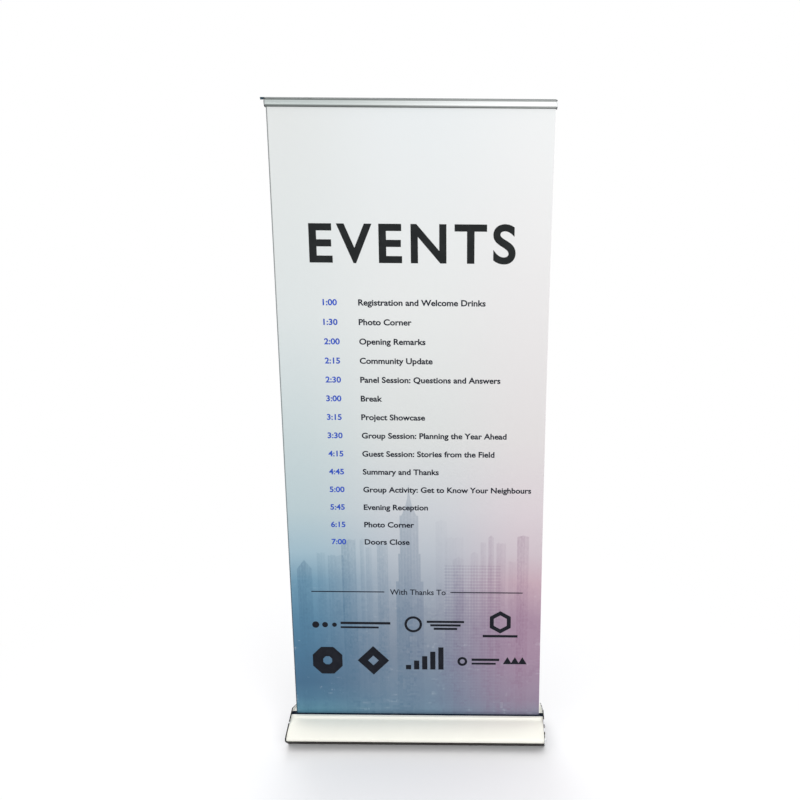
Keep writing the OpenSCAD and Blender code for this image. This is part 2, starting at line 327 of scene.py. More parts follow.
def pushed(bm, by):
    # draws every face out into a solid
    drawn = bmesh.ops.extrude_face_region(bm, geom=list(bm.faces))["geom"]
    bmesh.ops.translate(bm, verts=vertsOf(drawn), vec=by)
    return outward(bm)


def drawnOut(points, by):
    bm = bmesh.new()
    bm.faces.new([bm.verts.new(point) for point in points])
    return pushed(bm, by)


def prism(outline, left, right):
    # a closed outline in (y, z), drawn out along X
    return drawnOut([(left, y, z) for y, z in outline], (right - left, 0, 0))


def slab(outline, low, high):
    # a closed outline in (x, y), drawn upwards
    return drawnOut([(x, y, low) for x, y in outline], (0, 0, high - low))


def gathered(bm, part):
    # moves a finished part's mesh into another
    mesh = bpy.data.meshes.new("part")
    part.to_mesh(mesh)
    part.free()
    bm.from_mesh(mesh)
    bpy.data.meshes.remove(mesh)


def skinSheet(outline, stations):
    # an open outline in (y, z), drawn out along X through every station
    bm = bmesh.new()
    row = [bm.verts.new((stations[0], y, z)) for y, z in outline]
    edges = [bm.edges.new(pair) for pair in zip(row, row[1:])]
    for here, there in zip(stations, stations[1:]):
        grown = bmesh.ops.extrude_edge_only(bm, edges=edges)["geom"]
        bmesh.ops.translate(bm, verts=vertsOf(grown), vec=(there - here, 0, 0))
        edges = [e for e in grown if isinstance(e, bmesh.types.BMEdge)
                 and all(abs(v.co.x - there) < 1e-7 for v in e.verts)]
    return outward(bm)


def lathe(outline, centre, along, count=64):
    # an outline of (radius, distance) pairs turned about an axis; a closed outline makes a tube
    bm = bmesh.new()
    side = Vector((0, 1, 0)) if along == "X" else Vector((1, 0, 0))
    axis = Vector((1, 0, 0)) if along == "X" else Vector((0, 0, 1))
    row = [bm.verts.new(Vector(centre) + side * r + axis * d) for r, d in outline]
    edges = [bm.edges.new(pair) for pair in zip(row, row[1:] + row[:1])]
    bmesh.ops.spin(bm, geom=row + edges, cent=centre, axis=axis, angle=math.tau, steps=count,
                   use_merge=True)
    bmesh.ops.remove_doubles(bm, verts=bm.verts, dist=1e-6)
    return outward(bm)


def softened(bm, width, steepest=35, segments=2):
    sharp = [e for e in bm.edges if e.is_manifold and e.calc_face_angle() > math.radians(steepest)]
    bmesh.ops.bevel(bm, geom=sharp, offset=width, affect="EDGES", segments=segments,
                    profile=0.5, material=-1, clamp_overlap=True)


def piece(name, bm, finish, body, slot, stands=(), smooth=35):
    mesh = bpy.data.meshes.new(name)
    bm.to_mesh(mesh)
    bm.free()
    mesh.shade_smooth()
    mesh.set_sharp_from_angle(angle=math.radians(smooth))
    mesh.materials.append(finish)
    made = bpy.data.objects.new(name, mesh)
    scene.collection.objects.link(made)
    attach(made, body)
    if stands:
        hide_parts(*stands)
    return made


def repaint(finish, nodes):
    for node in nodes:
        mesh = frame["nodes"][node].data
        mesh.materials.clear()
        mesh.materials.append(finish)


print("helpers ready")

# the camera's angles are in degrees
view = {"place": (0.212, -2.274, 1.703), "yaw": 0.06, "down": 12.3, "roll": 0.46, "lens": 32.9, "shift": -0.1}
lens = bpy.data.cameras.new("camera")
lens.lens = view["lens"]
lens.shift_x = view["shift"]
lens.clip_start = 0.05
camera = bpy.data.objects.new("camera", lens)
camera.matrix_world = (Matrix.Translation(view["place"])
                       @ Matrix.Rotation(math.radians(view["yaw"]), 4, "Z")
                       @ Matrix.Rotation(math.radians(90 - view["down"]), 4, "X")
                       @ Matrix.Rotation(math.radians(view["roll"]), 4, "Z"))
scene.collection.objects.link(camera)
scene.camera = camera


def softLight(name, place, towards, size, power):
    lamp = bpy.data.lights.new(name, "AREA")
    lamp.shape = "RECTANGLE"
    lamp.size, lamp.size_y = size
    lamp.energy = power
    made = bpy.data.objects.new(name, lamp)
    made.location = place
    made.rotation_euler = (Vector(towards) - Vector(place)).to_track_quat("-Z", "Y").to_euler()
    scene.collection.objects.link(made)


softLight("keyLight", (2.2, -3.2, 2.2), (0, 0, 0.8), (2.4, 2.0), 53)
softLight("fillLight", (-2.6, -2.6, 1.4), (0, 0, 0.6), (1.8, 2.2), 20)
softLight("backLight", (-0.8, 3.2, 3.0), (0, 0, 0.8), (2.4, 1.6), 45)


room = {"strength": 1.45, "levels": [(0.35, 0.22), (0.8, 0.40), (1.0, 1.0)]}


def paintWorld():
    # white where the camera looks past the stand, a darker room for light and reflections
    world = bpy.data.worlds.new("room")
    world.use_nodes = True
    scene.world = world
    sky = Nodes(world.node_tree)
    sky.tree.nodes.remove(sky.tree.nodes["Background"])
    spot = sky.node("ShaderNodeTexCoord", {"out": "Generated"})
    height = (sky.node("ShaderNodeSeparateXYZ", {"out": "Z"}, spot) + 1) / 2
    stops = [(at, (level, level, level * 1.01, 1)) for at, level in room["levels"]]
    around = sky.node("ShaderNodeValToRGB", {"stops": stops}, height)
    unseen = sky.node("ShaderNodeBackground", {"sockets": {"Color": around, "Strength": room["strength"]}})
    seen = sky.node("ShaderNodeBackground", {"sockets": {"Color": (1, 1, 1, 1), "Strength": 1.0}})
    toCamera = sky.node("ShaderNodeLightPath", {"out": "Is Camera Ray"})
    mixed = sky.node("ShaderNodeMixShader", {}, toCamera, unseen, seen)
    sky.feed(sky.tree.nodes["World Output"].inputs["Surface"], mixed)


paintWorld()


def layFloor(radius=40.0, plain=0.3, faded=1.9):
    # pale near the stand, and as bright as the background further off
    bm = bmesh.new()
    bmesh.ops.create_circle(bm, cap_ends=True, radius=radius, segments=96)
    mesh = bpy.data.meshes.new("floor")
    bm.to_mesh(mesh)
    bm.free()
    floor = bpy.data.objects.new("floor", mesh)
    scene.collection.objects.link(floor)
    paint = Finish("floorPaper", {"Base Color": (0.92, 0.92, 0.925, 1), "Roughness": 0.85,
                                  "Specular IOR Level": 0.2})
    x, y, z = paint.places()
    far = (x * x + y * y).math("SQRT").rise(plain, faded)
    glow = paint.node("ShaderNodeEmission", {"sockets": {"Color": (1, 1, 1, 1), "Strength": 1.0}})
    blend = paint.node("ShaderNodeMixShader", {}, far, Wire(paint, paint.shader.outputs[0]), glow)
    paint.feed(paint.tree.nodes["Material Output"].inputs["Surface"], blend)
    mesh.materials.append(paint.material)


layFloor()
print("studio ready")


# the printed film: shown is the height of print in view, and map the height that its UV map spans

film = {
    "half": 0.425, "thickness": 0.4 * mm, "slot": 80 * mm, "split": 1.28, "low": 44 * mm,
    "top": box("banner")[1].z, "cell": 0.02, "ridge": 0.45 * mm, "bow": 5 * mm,
    "ink": 0.05 * mm, "inkGap": 0.12 * mm, "apart": 0.3 * mm, "tone": 0.90, "shown": 2.0, "map": 2.2,
    "ridgeHalf": 90 * mm, "ripple": 0.2 * mm,
}
travel = -next(j for j in frame["joints"] if j["name"] == "rail_height")["range_m"][0]


def filmPlace(x, z):
    # where a point of the flat print lies once the film is pulled up
    reach = (z - film["slot"]) / (film["top"] - film["slot"])
    mid = math.sin(math.pi * min(1.0, max(0.0, reach)))
    lean = max(0.0, x / film["half"])
    ridge = film["ridge"] * mid * math.exp(-(x / film["ridgeHalf"]) ** 2)
    ripple = film["ripple"] * mid * math.sin(x * 21 + 1.2 * math.sin(z * 3))
    return Vector((x - film["bow"] * mid * lean ** 2, -ridge + ripple, z))


# colour stops of the print, as (height above the slot in metres, red, green, blue)
printStops = {
    "left": [(0.0, 98, 152, 174), (0.06, 72, 119, 148), (0.12, 60, 104, 136), (0.22, 64, 112, 144),
             (0.36, 80, 130, 160), (0.50, 106, 150, 175), (0.60, 158, 186, 200), (0.75, 184, 202, 207),
             (1.0, 199, 212, 214), (1.4, 220, 226, 226), (2.0, 229, 232, 231)],
    "middle": [(0.0, 118, 147, 170), (0.06, 114, 138, 160), (0.22, 126, 140, 158), (0.36, 146, 156, 170),
               (0.50, 166, 175, 187), (0.60, 184, 191, 200), (0.75, 202, 206, 211), (1.0, 217, 220, 219),
               (1.4, 228, 230, 229), (2.0, 234, 238, 239)],
    "right": [(0.0, 146, 146, 168), (0.06, 152, 136, 158), (0.22, 166, 140, 162), (0.36, 170, 142, 163),
              (0.50, 197, 169, 181), (0.60, 206, 192, 200), (0.75, 216, 206, 211), (1.0, 222, 218, 218),
              (1.4, 229, 227, 227), (2.0, 238, 240, 240)],
}
# rows of hazy blocks: their width, least roof height, its spread, strength and random seed
hazyRows = [(0.034, 0.40, 0.14, 0.08, 3.0), (0.047, 0.28, 0.17, 0.11, 11.0), (0.066, 0.12, 0.18, 0.12, 23.0)]
# blocks of the skyline: centre, half width, roof height, strength, pitch of its bands, and roof slope
blocks = [
    (-0.375, 0.024, 0.575, 0.34, 9, 1.3), (-0.318, 0.013, 0.600, 0.15, 6, 0.0),
    (-0.268, 0.026, 0.592, 0.22, 12, 0.0), (-0.225, 0.023, 0.648, 0.30, 11, 0.0),
    (-0.180, 0.006, 0.650, 0.16, 6, 0.0), (-0.158, 0.009, 0.622, 0.14, 6, 0.0),
    (-0.112, 0.017, 0.636, 0.24, 9, 0.0), (0.085, 0.018, 0.720, 0.07, 9, 0.3),
    (0.128, 0.030, 0.660, 0.07, 10, 0.0), (0.196, 0.012, 0.610, 0.12, 8, 0.8),
    (0.226, 0.008, 0.640, 0.14, 6, 0.0), (0.252, 0.008, 0.668, 0.22, 6, 0.9),
    (0.286, 0.015, 0.640, 0.17, 8, 0.0), (0.360, 0.019, 0.668, 0.30, 10, 0.25),
    (0.142, 0.018, 0.590, 0.14, 7, 0.5), (0.325, 0.012, 0.575, 0.12, 7, 0.0),
]
gridBlock = {"from": 0.095, "to": 0.285, "roof": 0.560, "floors": 0.0115, "bays": 0.0095}
tower = {"centre": -0.022, "steps": [(0.046, 0.500), (0.037, 0.600), (0.031, 0.735)],
         "spireFrom": 0.735, "spireTo": 0.840, "spireHalf": 0.024}


def printedFilm():
    paint = Finish("filmPrint", {"Specular IOR Level": 0.35, "Coat Weight": 0.12, "Coat Roughness": 0.25})
    flat = paint.node("ShaderNodeUVMap", {"uv_map": "print"})
    across, up = [paint.node("ShaderNodeSeparateXYZ", {"out": i}, flat) for i in range(2)]
    x = across - 0.5
    h = up * film["map"] - film["slot"]

    def column(stops):
        shares = [(at / film["shown"], colour(*rgb)) for at, *rgb in stops]
        return paint.node("ShaderNodeValToRGB", {"stops": shares}, h / film["shown"])

    def cloudy(size, detail):
        sockets = {"Vector": flat, "Scale": size, "Detail": detail}
        return paint.node("ShaderNodeTexNoise", {"sockets": sockets})

    ground = paint.mix(x.rise(-0.40, -0.02), column(printStops["left"]), column(printStops["middle"]))
    ground = paint.mix(x.rise(0.02, 0.40), ground, column(printStops["right"]))

    # rows of hazy blocks, each nearer row lower, wider and darker, with cluttered roofs and lit windows
    clutter = (paint.chance(x.cell(0.0055), 1.0, 2.0) - 0.5) * 0.011
    windows = paint.chance(x.cell(0.0046), h.cell(0.0074), 9.0)
    clouds = cloudy(11.0, 3.0)
    wall = 0.66 + 0.46 * windows + (clouds - 0.5) * 0.9
    shade = 0
    for wide, low, spread, strength, salt in hazyRows:
        moved = x + salt * 0.0137
        number = moved.cell(wide)
        roof = low + paint.chance(number, salt, 1.0) * spread + clutter
        setback = roof + 0.022 * moved.share(wide).within(0.28, 0.72, 0.03)
        inside = 1 - (h - setback).rise(-0.0015, 0.0025)
        depth = strength * (0.55 + 0.5 * paint.chance(number, salt, 7.0)) * wall
        shade = shade + inside * depth
    for centre, half, roof, strength, pitch, slope in blocks:
        bands = x.share(pitch * mm).within(0.2, 0.7, 0.15)
        roofLine = roof - slope * (x - centre).math("ABSOLUTE") if slope else roof + clutter * 0.6
        under = 1 - (h - roofLine).rise(-0.002, 0.002)
        side = 1 - 0.3 * (x - centre).rise(half * 0.2, half * 0.3)
        shade = shade + x.within(centre - half, centre + half, 0.002) * under * side * (
            strength * (wall + 0.22 * bands - 0.1))
    block = x.within(gridBlock["from"], gridBlock["to"], 0.002)
    block = block * (1 - h.rise(gridBlock["roof"] - 0.002, gridBlock["roof"] + 0.002))
    lines = (1 - h.share(gridBlock["floors"]).within(0.30, 0.80, 0.12)) * 0.6
    lines = lines + (1 - x.share(gridBlock["bays"]).within(0.22, 0.86, 0.10)) * 0.4
    shade = shade + block * (0.19 - 0.30 * lines)
    beside = x - tower["centre"]
    away = beside.math("ABSOLUTE")
    narrow = (h - tower["spireFrom"]) / (tower["spireTo"] - tower["spireFrom"])
    narrow = (1 - narrow).math("MAXIMUM", 0.0)
    cone = away - tower["spireHalf"] * narrow * narrow
    body = (1 - cone.rise(-0.0005, 0.002)) * h.within(tower["spireFrom"], tower["spireTo"], 0.002)
    for half, roof in tower["steps"]:
        step = (1 - away.rise(half - 0.0015, half + 0.0015)) * (1 - h.rise(roof - 0.0015, roof + 0.0015))
        body = body.math("MAXIMUM", step)
    ribs = beside.share(0.0105).within(0.3, 0.75, 0.12)
    flank = 0.05 * beside.rise(0.004, 0.008)
    shade = shade + body * (0.30 + 0.05 * ribs + 0.06 * windows - flank) * (1 - 0.15 * h.rise(0.60, 0.85))
    # the blocks sink into haze near the foot of the print, and small lights and ledges speckle them
    shade = shade * (0.40 + 0.60 * h.rise(0.05, 0.45))
    streets = cloudy(30.0, 5.0)
    ledges = paint.chance(x.cell(0.0125), h.cell(0.0078), 5.0) - 0.5
    panes = paint.chance(x.cell(0.0085), h.cell(0.023), 6.0).rise(0.90, 0.92) * streets.rise(0.45, 0.55)
    sills = paint.chance(x.cell(0.024), h.cell(0.0062), 8.0).rise(0.90, 0.92) * streets.rise(0.40, 0.50)
    fade = 1 - h.rise(0.16, 0.60)
    shade = shade + ((streets - 0.5) * 0.40 + ledges * streets.rise(0.42, 0.62) * 0.30) * fade
    shade = shade + (0.012 - (panes + sills) * 0.13) * fade

    dark = paint.mix(x.rise(-0.1, 0.35), (0.045, 0.14, 0.24, 1), (0.25, 0.12, 0.22, 1))
    ground = paint.mix(shade.math("MAXIMUM", 0.0), ground, dark)
    lit = paint.mix((0 - shade).math("MAXIMUM", 0.0), ground, (0.85, 0.9, 0.95, 1))
    fibre = cloudy(900.0, 2.0)
    edge = 1 - (x + film["half"]).rise(0.002, 0.0045)
    lit = paint.mix(edge * 0.7, lit, (0.03, 0.04, 0.05, 1))
    lit = paint.mix(1.0, lit, (film["tone"], film["tone"], film["tone"], 1), "MULTIPLY")
    paint.wear("Base Color", paint.mix(0.05, lit, fibre, "OVERLAY"))
    smears = cloudy(7.0, 3.0)
    paint.wear("Roughness", 0.42 + smears * 0.14)
    paint.bump(fibre, 0.00002, 0.25)
    return paint.material


filmFront = printedFilm()
filmBack = moulded("filmGreyBack", colour(150, 152, 154), 0.55, 1400.0, 0.00001, patches=0.03)


def filmSheet(name, low, high):
    # a flat grid is given its thickness and its print, then bent to how the film hangs
    bm = bmesh.new()
    columns = round(2 * film["half"] / film["cell"])
    rows = round((high - low) / film["cell"])
    bmesh.ops.create_grid(bm, x_segments=columns, y_segments=rows, size=0.5)
    lift = Matrix.Translation((0, 0, (low + high) / 2)) @ Matrix.Rotation(math.pi / 2, 4, "X")
    spread = Matrix.Diagonal((2 * film["half"], high - low, 1, 1))
    bmesh.ops.transform(bm, verts=bm.verts, matrix=lift @ spread)
    bmesh.ops.solidify(bm, geom=list(bm.faces), thickness=film["thickness"])
    outward(bm)
    middle = sum(v.co.y for v in bm.verts) / len(bm.verts)
    flat = bm.loops.layers.uv.new("print")
    for face in bm.faces:
        face.material_index = 0 if face.normal.y < -0.5 or abs(face.normal.z) > 0.5 else 1
        for corner in face.loops:
            corner[flat].uv = (corner.vert.co.x + 0.5, corner.vert.co.z / film["map"])
    for vert in bm.verts:
        vert.co = filmPlace(vert.co.x, vert.co.z) + Vector((0, vert.co.y - middle, 0))
    made = piece(name, bm, filmFront, "rail" if low > film["low"] else "base", "film")
    made.data.materials.append(filmBack)
    return made


def rollsAway(piece):
    # works out the share of the lower print that stays out when the rail is fully down, just ahead of the
    # upper one, but only gives the piece its own mesh
    keep = 1 - (travel + film["apart"]) / (film["split"] - film["low"])
    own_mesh(piece)


filmUpper = filmSheet("filmUpper", film["split"], film["top"])
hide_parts("banner")
filmLower = filmSheet("filmLower", film["low"], film["split"])
rollsAway(filmLower)
print("film hung")


# lettering and marks on the film, all generic

def inkPaint(name, tint):
    return moulded(name, tint, 0.5, 1400.0, 0.00001, shine=0.15)


inks = {
    "dark": inkPaint("inkCharcoal", colour(26, 29, 30)),
    "row": inkPaint("inkNavy", colour(20, 25, 38)),
    "time": inkPaint("inkBlue", colour(44, 78, 176)),
    "mark": inkPaint("inkBlack", colour(12, 16, 26)),
}


def letters(text, weight, spacing=1.0, rounding=4):
    curve = bpy.data.curves.new("letters", "FONT")
    curve.body = text
    curve.offset = weight
    curve.space_character = spacing
    curve.resolution_u = rounding
    holder = bpy.data.objects.new("letters", curve)
    scene.collection.objects.link(holder)
    bpy.context.view_layer.update()
    graph = bpy.context.evaluated_depsgraph_get()
    mesh = bpy.data.meshes.new_from_object(holder.evaluated_get(graph))
    bpy.data.objects.remove(holder)
    bpy.data.curves.remove(curve)
    return mesh


def span(mesh, axis):
    places = [v.co[axis] for v in mesh.vertices]
    return min(places), max(places)


capShare = span(letters("H", 0.0), 1)[1]


def inkPiece(name, bm, ink, z):
    # flat shapes drawn in (x, height) become a thin layer of ink on the film's face
    bmesh.ops.remove_doubles(bm, verts=bm.verts, dist=0.02 * mm)
    bmesh.ops.dissolve_degenerate(bm, edges=bm.edges, dist=0.01 * mm)
    drawn = bmesh.ops.extrude_face_region(bm, geom=list(bm.faces))["geom"]
    front = set(vertsOf(drawn))
    for vert in bm.verts:
        forward = film["inkGap"] + (film["ink"] if vert in front else 0)
        forward += film["thickness"] / 2
        vert.co = filmPlace(vert.co.x, vert.co.y) + Vector((0, -forward, 0))
    outward(bm)
    upper = z > film["split"]
    made = piece(name, bm, inks[ink], "rail" if upper else "base", "film")
    if not upper:
        rollsAway(made)
    return made


def lettering(name, text, ink, x, z, cap, weight, width=None, centred=False, stretch=1.0):
    # z is the height of the letters' middle; a width spreads the letters to reach it
    size = cap / capShare
    spacing = 1.0
    rounding = 12 if cap > 0.05 else 4
    if width:
        natural, loose = [span(letters(text, weight, s), 0)[1] * size * stretch for s in (1.0, 1.4)]
        spacing = 1 + 0.4 * (width - natural) / (loose - natural)
    mesh = letters(text, weight, spacing, rounding)
    start, end = [place * size * stretch for place in span(mesh, 0)]
    shift = x - (start + end) / 2 if centred else x - start
    bm = bmesh.new()
    bm.from_mesh(mesh)
    bpy.data.meshes.remove(mesh)
    bmesh.ops.transform(bm, verts=bm.verts,
                        matrix=Matrix.Translation((shift, z - cap / 2, 0))
                        @ Matrix.Diagonal((size * stretch, size, size, 1)))
    return inkPiece(name, bm, ink, z)


heading = {"text": "EVENTS", "left": -0.315, "width": 0.640, "middle": 1.692, "cap": 0.110, "weight": 0.022}
lettering("heading", heading["text"], "dark", heading["left"], heading["middle"], heading["cap"],
          heading["weight"], heading["width"])

rowPlaces = {"top": 1.433, "step": 0.0609, "time": -0.280, "label": -0.170, "cap": 0.0178, "weight": 0.027,
             "stretch": 1.10}
rowTexts = [
    ("1:00", "Registration and Welcome Drinks"), ("1:30", "Photo Corner"), ("2:00", "Opening Remarks"),
    ("2:15", "Community Update"), ("2:30", "Panel Session: Questions and Answers"), ("3:00", "Break"),
    ("3:15", "Project Showcase"), ("3:30", "Group Session: Planning the Year Ahead"),
    ("4:15", "Guest Session: Stories from the Field"), ("4:45", "Summary and Thanks"),
    ("5:00", "Group Activity: Get to Know Your Neighbours"), ("5:45", "Evening Reception"),
    ("6:15", "Photo Corner"), ("7:00", "Doors Close"),
]
for number, (time, label) in enumerate(rowTexts, 1):
    height = film["slot"] + rowPlaces["top"] - rowPlaces["step"] * (number - 1)
    for name, text, paint in (("time", time, "time"), ("label", label, "row")):
        lettering(f"{name}{number}", text, paint, rowPlaces[name], height, rowPlaces["cap"],
                  rowPlaces["weight"], stretch=rowPlaces["stretch"])
captionHeight = film["slot"] + 0.461
lettering("caption", "With Thanks To", "row", 0.005, captionHeight, 0.0192, 0.014, centred=True)


def shapes(name, ink, z, parts):
    # each part: sides, centre x, centre z, half width, half height, turn, and the hole's share of it
    bm = bmesh.new()
    for sides, x, up, wide, tall, turn, hole in parts:
        rings = []
        for share in (1.0, hole) if hole else (1.0,):
            ring = bmesh.ops.create_circle(bm, cap_ends=not hole, radius=share, segments=sides)["verts"]
            stretch = 1 / math.cos(math.pi / sides) if sides < 12 else 1
            place = (Matrix.Translation((x, up, 0)) @ Matrix.Diagonal((wide * stretch, tall * stretch, 1, 1))
                     @ Matrix.Rotation(math.radians(turn), 4, "Z"))
            bmesh.ops.transform(bm, verts=ring, matrix=place)
            rings.append(ring)
        if hole:
            edges = {e for ring in rings for v in ring for e in v.link_edges}
            bmesh.ops.bridge_loops(bm, edges=list(edges))
    return inkPiece(name, bm, ink, z)


def bar(x, up, half, tall):
    return (4, x, up, half, tall, 45, 0)


def ball(x, up, radius, hole=0.0):
    return (40, x, up, radius, radius, 0, hole)


shapes("ruleLeft", "row", captionHeight, [bar(-0.2315, captionHeight, 0.1235, 0.0018)])
shapes("ruleRight", "row", captionHeight, [bar(0.238, captionHeight, 0.123, 0.0018)])
firstRow, secondRow = film["slot"] + 0.338, film["slot"] + 0.203
shapes("markDots", "mark", firstRow, [ball(-0.345 + 0.032 * i, firstRow, 0.012 - 0.002 * i) for i in range(3)]
       + [bar(-0.175, firstRow + 0.007, 0.085, 0.0045), bar(-0.195, firstRow - 0.009, 0.065, 0.0035)])
shapes("markRing", "mark", firstRow, [ball(-0.012, firstRow + 0.004, 0.030, 0.72)]
       + [bar(0.098, firstRow + 0.014 - 0.013 * i, 0.064 - 0.012 * i, 0.004) for i in range(3)])
shapes("markHexagon", "mark", firstRow, [(6, 0.286, firstRow + 0.014, 0.036, 0.036, 0, 0.62),
                                         bar(0.286, firstRow - 0.038, 0.060, 0.0045)])
shapes("markOctagon", "mark", secondRow, [(8, -0.309, secondRow, 0.051, 0.051, 22.5, 0.30)])
shapes("markDiamond", "mark", secondRow, [(4, -0.151, secondRow + 0.001, 0.0385, 0.0385, 0, 0.34)])
shapes("markSteps", "mark", secondRow, [bar(-0.030 + 0.028 * i, secondRow - 0.032 + 0.0085 * (i + 1), 0.009,
                                            0.0085 * (i + 1)) for i in range(5)])
shapes("markBeads", "mark", secondRow, [ball(0.156, secondRow, 0.017, 0.5)]
       + [bar(0.236, secondRow + 0.007, 0.048, 0.0045), bar(0.230, secondRow - 0.008, 0.042, 0.0035)]
       + [(3, 0.312 + 0.026 * i, secondRow, 0.009, 0.009, 0, 0) for i in range(3)])
print("print laid on the film")


# cassette: covers, end plates, screws, brush strips and feet

coverBox = box("front_cover")
plateInner = coverBox[1].x
plateOuter = plateInner + 4 * mm
cassette = {
    "slot": film["slot"], "wall": 2 * mm, "frontLip": 12 * mm, "rearLip": 7 * mm, "foot": 16 * mm,
    "belly": (33 * mm, 73.6 * mm), "bellyRadius": 110 * mm, "bellyEnd": 36, "coveRadius": 14 * mm,
    "noseRadius": 9 * mm, "under": 135, "edge": 0.35 * mm,
    "ports": [(50 * mm, 66.6 * mm), (95.97 * mm, 45.31 * mm)], "portRadius": 4.4 * mm, "tap": 2.1 * mm,
    "poleHole": (22.4 * mm, 12.6 * mm, 47.4 * mm),
}


def coverOutline(lip):
    # the outer face in (distance from the film, height), from the lip over the belly to the foot
    c = cassette
    across, top = c["belly"]
    cove = (across, top + c["coveRadius"])
    start = math.degrees(math.acos((cove[1] - c["slot"]) / c["coveRadius"]))
    bellyCentre = (across, top - c["bellyRadius"])
    turn = math.radians(c["bellyEnd"])
    reach = c["bellyRadius"] - c["noseRadius"]
    nose = (bellyCentre[0] + reach * math.sin(turn), bellyCentre[1] + reach * math.cos(turn))
    under = math.radians(c["under"])
    foot = (nose[0] * math.sin(under) + nose[1] * math.cos(under) + c["noseRadius"]
            - math.cos(under) * c["foot"]) / math.sin(under)
    hole = [(at, c["slot"]) for at in (c["poleHole"][1],) if at > lip]
    return ([(lip, c["slot"])] + hole + arc(cove, c["coveRadius"], 180 + start, 180, 10)
            + arc(bellyCentre, c["bellyRadius"], 1.5, c["bellyEnd"], 24)
            + arc(nose, c["noseRadius"], c["bellyEnd"] + 6, c["under"], 16)
            + [(foot, c["foot"])])


def coverPiece(name, side, lip, opened, node):
    # a single wall of even thickness drawn along X, with the pole's hole where it is opened
    c = cassette
    outline = coverOutline(lip)
    halfHole, near, far = c["poleHole"]
    if opened:
        after = next(i for i, p in enumerate(outline) if p[0] > far)
        a, b = outline[after - 1], outline[after]
        outline.insert(after, (far, a[1] + (b[1] - a[1]) * (far - a[0]) / (b[0] - a[0])))
    stations = [-plateInner, -halfHole, halfHole, plateInner] if opened else [-plateInner, 0, plateInner]
    bm = skinSheet([(side * u, z) for u, z in outline], stations)
    if opened:
        cut = [f for f in bm.faces if abs(f.calc_center_median().x) < halfHole
               and near < f.calc_center_median().y < far]
        bmesh.ops.delete(bm, geom=cut, context="FACES")
    bm.normal_update()
    topFace = max(bm.faces, key=lambda f: f.calc_center_median().z)
    if topFace.normal.z < 0:
        bmesh.ops.reverse_faces(bm, faces=bm.faces)
    made = piece(name, bm, finishes["cover"], "base", "satin_cover", [node], smooth=25)
    wall = made.modifiers.new("wall", "SOLIDIFY")
    wall.thickness = c["wall"]
    wall.offset = -1
    wall.use_even_offset = True
    edge = made.modifiers.new("edge", "BEVEL")
    edge.width = c["edge"]
    edge.segments = 2
    edge.limit_method = "ANGLE"
    edge.angle_limit = math.radians(50)


coverPiece("frontCoverShell", -1, cassette["frontLip"], False, "front_cover")
coverPiece("rearCoverShell", 1, cassette["rearLip"], True, "rear_cover")


def portTubes(name, side):
    c = cassette
    bm = bmesh.new()
    for across, height in c["ports"]:
        ring = [(c["tap"], -plateInner), (c["portRadius"], -plateInner),
                (c["portRadius"], plateInner), (c["tap"], plateInner)]
        gathered(bm, lathe(ring, (0, side * across, height), "X", 20))
    piece(name, bm, finishes["cover"], "base", "satin_cover")


portTubes("frontCoverPorts", -1)
portTubes("rearCoverPorts", 1)


def wrapped(circles, count):
    # the outline of a belt round circles, each a place and a radius, given clockwise
    points = []
    turns = []
    for (y0, z0, r0), (y1, z1, r1) in zip(circles, circles[1:] + circles[:1]):
        dy, dz = y1 - y0, z1 - z0
        turns.append(math.atan2(dz, dy) + math.acos((r0 - r1) / math.hypot(dy, dz)))
    for (y, z, r), before, after in zip(circles, turns[-1:] + turns[:-1], turns):
        swing = (before - after) % math.tau
        for i in range(count + 1):
            a = before - swing * i / count
            points.append((y + r * math.cos(a), z + r * math.sin(a)))
    return points


plateForm = {"crown": (0, 84 * mm, 12 * mm), "nose": (92.37 * mm, 45.31 * mm, 13 * mm),
             "sole": (65 * mm, 5 * mm, 3.5 * mm), "edge": 1.2 * mm}


def endPlate(side, name, node):
    f = plateForm
    ny, nz, nr = f["nose"]
    sy, sz, sr = f["sole"]
    outline = wrapped([f["crown"], f["nose"], f["sole"], (-sy, sz, sr), (-ny, nz, nr)], 14)
    ends = sorted([side * plateInner, side * plateOuter])
    bm = prism(outline, *ends)
    rim = [e for e in bm.edges if abs(e.verts[0].co.x - e.verts[1].co.x) < 1e-7]
    bmesh.ops.bevel(bm, geom=rim, offset=f["edge"], affect="EDGES", segments=4, profile=0.5,
                    material=-1, clamp_overlap=True)
    bm.normal_update()
    for face in bm.faces:
        face.material_index = 1 if abs(face.normal.x) < 0.93 else 0
    made = piece(name, bm, finishes["plate"], "base", "polished_plate", [node], smooth=40)
    made.data.materials.append(finishes["rim"])


endPlate(-1, "endPlateLeft", "end_plate_left")
endPlate(1, "endPlateRight", "end_plate_right")

# button-head screws with a socket
screwForm = {"radius": 4.4 * mm, "height": 2.4 * mm, "socket": 1.7 * mm, "depth": 1.3 * mm,
             "shank": 2.0 * mm, "length": 18 * mm, "low": (61.5 * mm, 9 * mm)}


def screwHead(bm, y, z, side):
    f = screwForm
    r, tall, flat = f["radius"], f["height"], f["socket"] * 1.25
    start = side * plateOuter
    dome = [(r, 0.0), (r, 0.35 * tall)] + [
        (flat + (r - flat) * math.cos(a), 0.35 * tall + 0.65 * tall * math.sin(a))
        for a in (0.35, 0.75, 1.15, 1.5)]
    outline = dome + [(f["socket"], tall), (f["socket"], tall - f["depth"]), (0.0, tall - f["depth"]),
                      (0.0, -f["length"]), (f["shank"], -f["length"]), (f["shank"], 0.0)]
    placed = [(radius, side * along) for radius, along in outline]
    turned = lathe(placed, (start, y, z), "X", 24)
    bmesh.ops.dissolve_degenerate(turned, edges=turned.edges, dist=1e-7)
    gathered(bm, turned)


